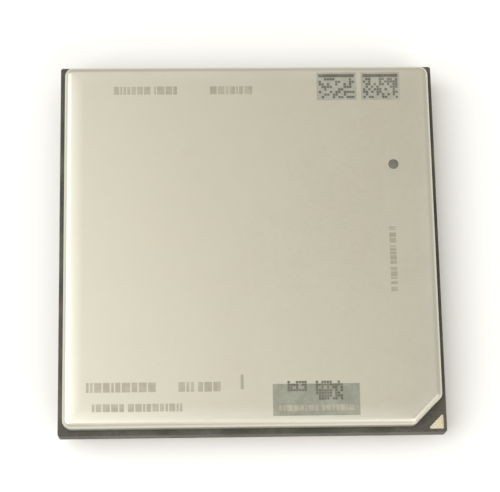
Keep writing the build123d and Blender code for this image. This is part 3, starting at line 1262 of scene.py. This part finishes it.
@dataclass
class PinGrid:
    """Pins, pads and braze mounds, each set at the places that its CAD node holds."""

    pitch: float = 1.27 * MM
    tip_radius: float = 0.06 * MM
    waist_gap: float = 0.012 * MM
    mound_power: float = 2.4
    pad_edge: float = 0.008 * MM
    sides: int = 10

    def places(self, node: str) -> np.ndarray:
        """Centres of a node's solids: its mesh points, each moved to the nearest grid place.

        Args:
            node: a CAD node whose solids stand on the pin grid.

        Returns:
            Centres, shape (n, 2), in a fixed order.
        """
        points = mesh_points(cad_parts[node].data)
        grid = np.unique(np.round(points[:, :2] / self.pitch).astype(int), axis=0)
        return grid * self.pitch

    def turned(
        self, name: str, node: str, profile: np.ndarray, slot: str, finish: Finish, sides: int
    ) -> None:
        """Make one piece of turned copies of a profile at a node's places.

        Args:
            name: the piece's name.
            node: the CAD node that it stands for.
            profile: (radius, height) pairs, upwards.
            slot: not used.
            finish: what it is made of.
            sides: points round each copy.
        """
        surface = Surface()
        surface.add(*lathe_copies(profile, self.places(node), sides))
        finish_piece(surface.build(name), finish, [node])

    def pin_profile(self, node: str) -> np.ndarray:
        """A straight shaft whose tip is rounded off.

        Args:
            node: a CAD node of pins.

        Returns:
            (radius, height) pairs, upwards.
        """
        low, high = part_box(node)
        radius = self.shaft_radius
        angle = np.array([0, 0.25, 0.625, 1]) * (math.pi / 2)
        tip_radii = radius - self.tip_radius * (1 - np.sin(angle))
        tip_levels = low.z + self.tip_radius * (1 - np.cos(angle))
        return np.array([*zip(tip_radii, tip_levels), (radius, high.z)])

    def braze_profile(self) -> np.ndarray:
        """A hollow-sided mound, whose spread grows as a power of the way up to the pad.

        Returns:
            (radius, height) pairs, upwards.
        """
        low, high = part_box("pin_brazes")
        foot, waist = self.mound_radius, self.shaft_radius + self.waist_gap
        share = np.linspace(0, 1, 5)
        radius = waist + (foot - waist) * share**self.mound_power
        level = low.z + (high.z - low.z) * share
        return np.column_stack([radius, level])

    def build(self) -> None:
        """Make every row of pins, then the pads and the mounds."""
        row = sorted(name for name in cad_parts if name.startswith("pins_"))
        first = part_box("pins_column_1")
        self.shaft_radius = (first[1].x - first[0].x) / 2
        span = max(abs(self.places("pin_pads")[:, 0]))
        self.mound_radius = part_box("pin_brazes")[1].x - span
        pad_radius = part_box("pin_pads")[1].x - span
        for node in row:
            self.turned(f"{node}_shafts", node, self.pin_profile(node), "gold_pin", GOLD, self.sides)
        self.turned("braze_mounds", "pin_brazes", self.braze_profile(), "braze_alloy", BRAZE, 12)
        low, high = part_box("pin_pads")
        edge = self.pad_edge
        pad = np.array([(pad_radius - edge, low.z), (pad_radius, low.z + edge), (pad_radius, high.z)])
        self.turned("pad_discs", "pin_pads", pad, "gold_plating", GOLD, 16)


# --- what the lid covers ---


@dataclass
class CoveredPieces:
    """The die, its joints and the capacitors: CAD shapes, each dressed in its own finish."""

    finishes: tuple[tuple[str, Finish], ...] = (
        ("silicon_die", SILICON),
        ("solder_bumps", SOLDER),
        ("underfill", RESIN),
        ("thermal_interface", COMPOUND),
        ("ground_plane", TUNGSTEN),
        ("power_plane", TUNGSTEN),
        ("capacitor_bodies", CHIP_CERAMIC),
        ("capacitor_terminals", TIN),
        ("capacitor_solder", SOLDER),
        ("capacitor_lands", GOLD),
    )

    def dress(self) -> None:
        """Give each CAD node its finish."""
        for node, finish in self.finishes:
            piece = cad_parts[node]
            piece.data.materials.clear()
            piece.data.materials.append(finish.material())
            LOG.info("%s: CAD shape in %s", node, finish.name)


# --- studio ---


@dataclass
class Studio:
    """A plain pale table, soft light from the upper left and the camera."""

    eye: Triple = (-7.0 * MM, -49.5 * MM, 186.0 * MM)
    lens: float = 129.0
    roll_deg: float = -0.52
    aim: Triple = (0.0, -0.3 * MM, 5.0 * MM)
    table_tones: tuple[Triple, Triple] = ((0.86, 0.86, 0.855), (0.90, 0.90, 0.895))
    table_half: float = 2.5
    table_level: float = -0.01 * MM
    room: Triple = (1.0, 0.972, 0.875)
    room_strength: float = 0.68

    def camera(self) -> None:
        """Set the camera at the eye, looking at the aim, with the package's X axis nearly level."""
        data = bpy.data.cameras.new("camera")
        data.lens = self.lens
        data.clip_start, data.clip_end = 0.01, 10.0
        camera = placed("camera", data)
        eye, aim = Vector(self.eye), Vector(self.aim)
        forward = (aim - eye).normalized()
        roll = math.radians(self.roll_deg)
        level = Vector((math.cos(roll), math.sin(roll), 0))
        right = (level - forward * level.dot(forward)).normalized()
        up = right.cross(forward)
        turn = Matrix((right, up, -forward)).transposed().to_4x4()
        camera.matrix_world = Matrix.Translation(eye) @ turn
        bpy.context.scene.camera = camera

    def softbox(self, name: str, place: Triple, size: float, power: float, colour: Triple) -> None:
        """A square area light that faces the package.

        Args:
            name: the light's name.
            place: its middle.
            size: its side.
            power: its power in watts.
            colour: its colour.
        """
        data = bpy.data.lights.new(name, "AREA")
        data.shape = "SQUARE"
        data.size = size
        data.energy = power
        data.color = colour
        light = placed(name, data)
        light.location = place
        light.rotation_mode = "QUATERNION"
        light.rotation_quaternion = (-Vector(place)).to_track_quat("-Z", "Y")

    def floor(self) -> None:
        """A pale matt table top, faintly uneven in tone."""
        half, level = self.table_half, self.table_level
        corners = np.array(
            [(-half, -half, level), (half, -half, level), (half, half, level), (-half, half, level)]
        )
        surface = Surface()
        surface.add(corners, np.array([[0, 1, 2, 3]]))
        table = surface.build("table_top")
        bench = NodeBench("pale_table")
        cloud = bench.noise(14.0)
        tint = bench.blend(cloud, *self.table_tones)
        table.data.materials.append(bench.dress(tint, bench.band(cloud, 0.3, 0.7, (0.6, 0.7))))

    def surroundings(self) -> None:
        """An even pale room."""
        world = bpy.data.worlds.new("room")
        world.use_nodes = True
        background = world.node_tree.nodes["Background"]
        background.inputs["Color"].default_value = (*self.room, 1.0)
        background.inputs["Strength"].default_value = self.room_strength
        bpy.context.scene.world = world

    def build(self) -> None:
        """Set up the whole studio."""
        self.camera()
        self.floor()
        self.surroundings()
        self.softbox("key_light", (-0.50, -0.06, 0.72), 0.90, 6.5, (0.97, 0.985, 1.0))
        self.softbox("front_light", (0.40, -0.60, 0.50), 0.60, 2.1, (0.98, 0.99, 1.0))
        bpy.context.scene.view_settings.view_transform = "Standard"


def main() -> None:
    """Build the package from the floor up, then the studio."""
    logging.basicConfig(level=logging.INFO, format="%(name)s %(message)s")
    PinGrid().build()
    CeramicLayer("ceramic_bottom_layer", "ground_plane", seed=3).build()
    CeramicLayer("ceramic_core_layer", "power_plane", seed=5).build()
    CeramicLayer("ceramic_top_layer", seed=7).build()
    IndexTriangle("index_triangle_top").build()
    IndexTriangle("index_triangle_bottom").build()
    CoveredPieces().dress()
    SealBead().build()
    lid = Lid()
    lid.build()
    LidMarks(lid).build()
    Studio().build()


if __name__ == "__main__":
    main()
